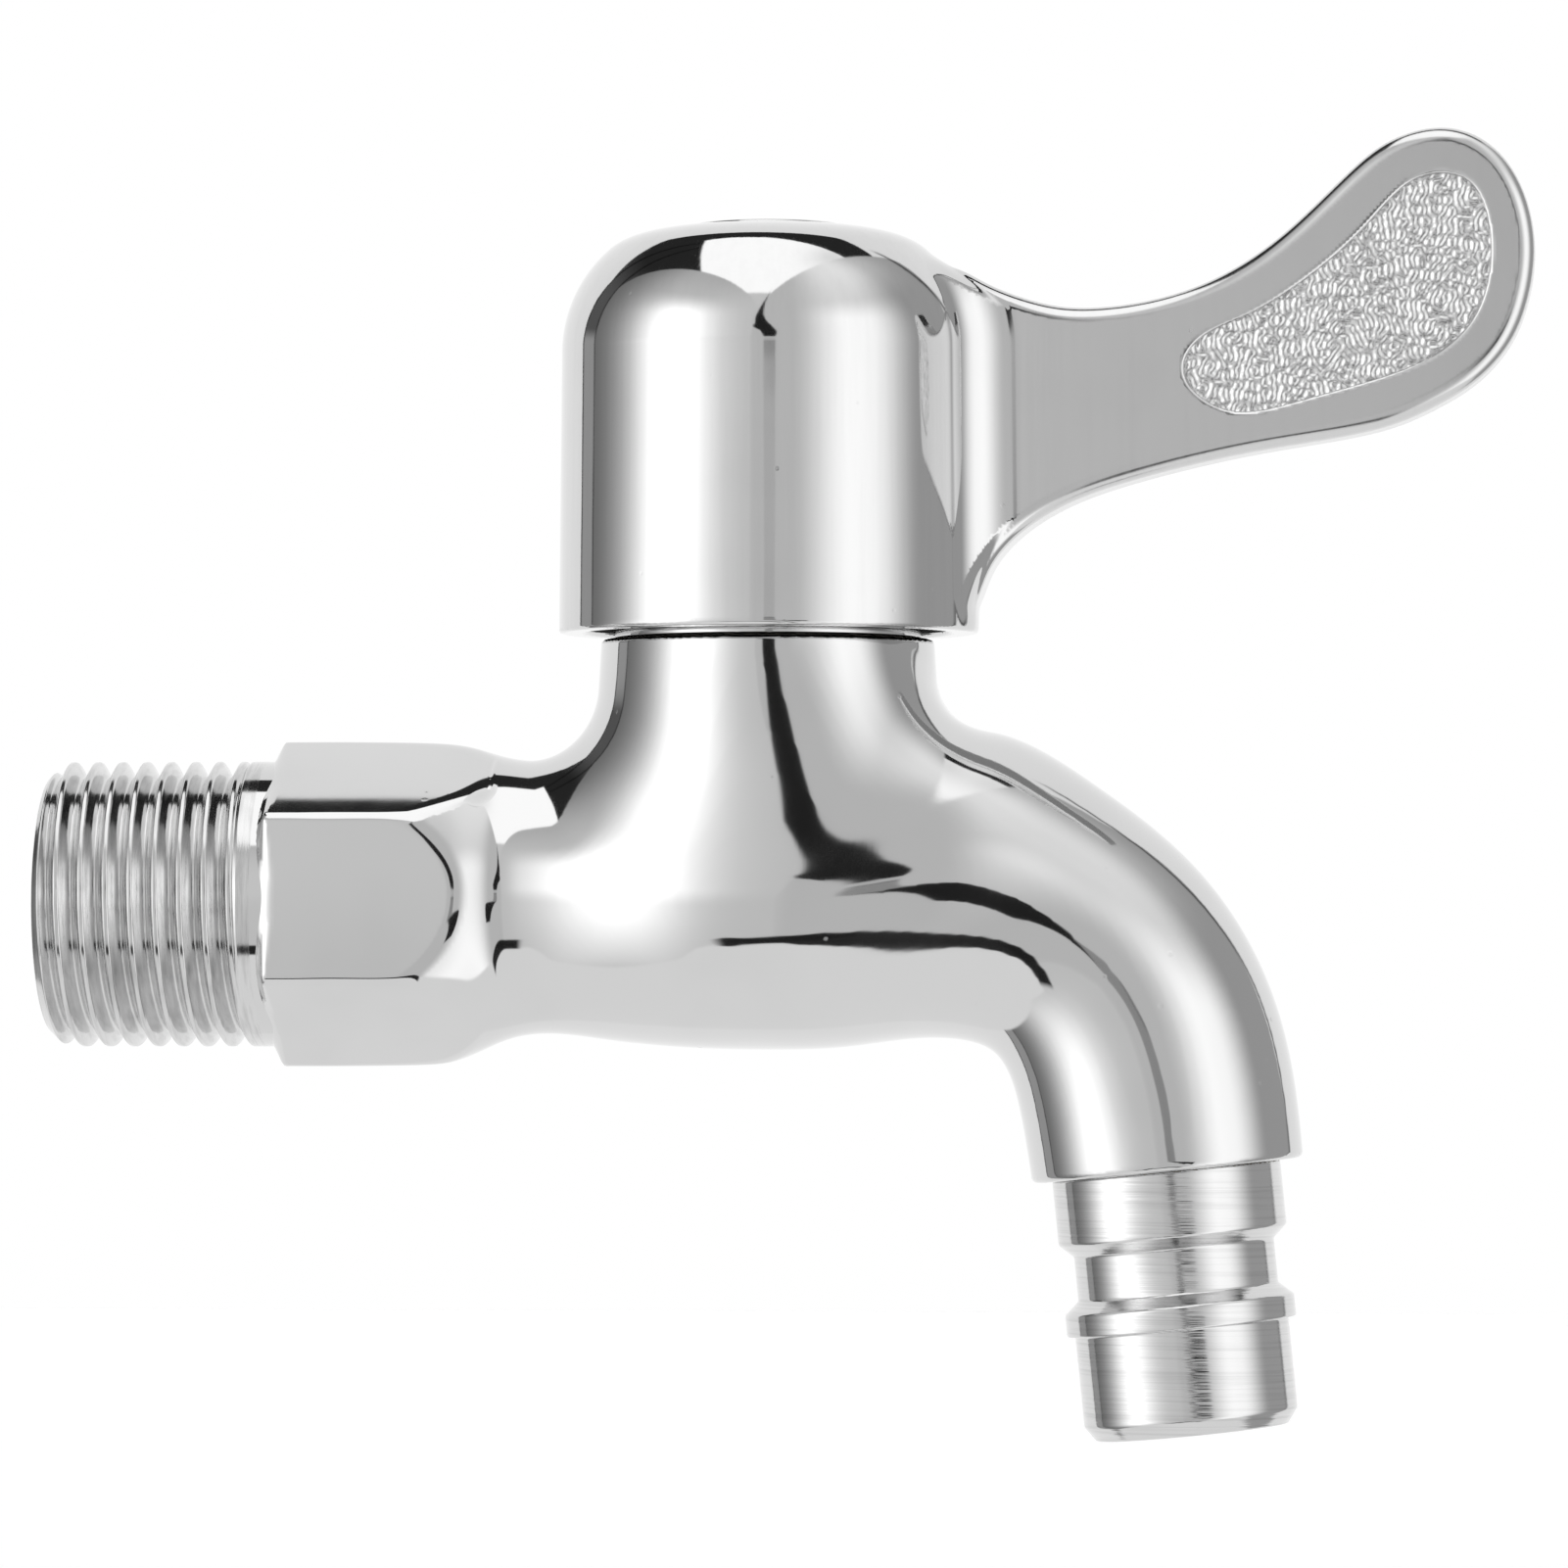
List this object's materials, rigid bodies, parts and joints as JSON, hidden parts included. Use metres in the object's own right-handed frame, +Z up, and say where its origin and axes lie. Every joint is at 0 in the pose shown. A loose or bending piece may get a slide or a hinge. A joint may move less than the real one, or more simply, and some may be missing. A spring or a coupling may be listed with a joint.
{
  "type": "washing machine tap",
  "caption": "Wall-mounted quarter-turn tap with a male inlet thread, spanner hexagon, curved spout, hose nozzle and side lever.",
  "frame": {"origin": "centre of the spanner hexagon's wall side, on the inlet axis, where the inlet thread ends", "axes": "+X out of the wall along the inlet axis, +Z up along the handle's axis, lever along +X when the tap is closed"},
  "size_m": [0.1089, 0.0306, 0.0949],
  "materials": {
    "chrome_casting": "bright chrome plate on cast brass",
    "chrome_handle": "bright chrome plate on zinc casting",
    "chrome_button": "bright chrome plate on moulded button",
    "turned_chrome": "bright plated, fine turning marks",
    "brass": "machined brass",
    "brass_spindle": "turned brass",
    "fibre": "vulcanised fibre",
    "rubber": "black nitrile rubber",
    "ceramic": "lapped alumina ceramic",
    "white_plastic": "moulded acetal",
    "spring_steel": "spring steel",
    "steel": "stainless steel"
  },
  "bodies": {
    "tap": {"tap_body": "chrome_casting", "nozzle": "turned_chrome", "nozzle_gasket": "rubber", "bonnet": "brass", "bonnet_gasket": "fibre", "seat_seal": "rubber", "seal_support_ring": "white_plastic", "fixed_disc": "ceramic"},
    "lever": {"handle": "chrome_handle", "spline_insert": "white_plastic", "handle_screw": "steel", "lock_washer": "spring_steel", "index_cap": "chrome_button", "spindle": "brass_spindle", "moving_disc": "ceramic", "lower_o_ring": "rubber", "upper_o_ring": "rubber", "thrust_washer": "white_plastic", "stop_ring": "brass_spindle", "circlip": "spring_steel"}
  },
  "joints": [
    {"name": "handle_turn", "type": "hinge", "parent": "tap", "child": "lever", "pos_m": [0.0364, 0, 0.02], "axis": [0, 0, 1], "range_deg": [0, 90]}
  ]
}
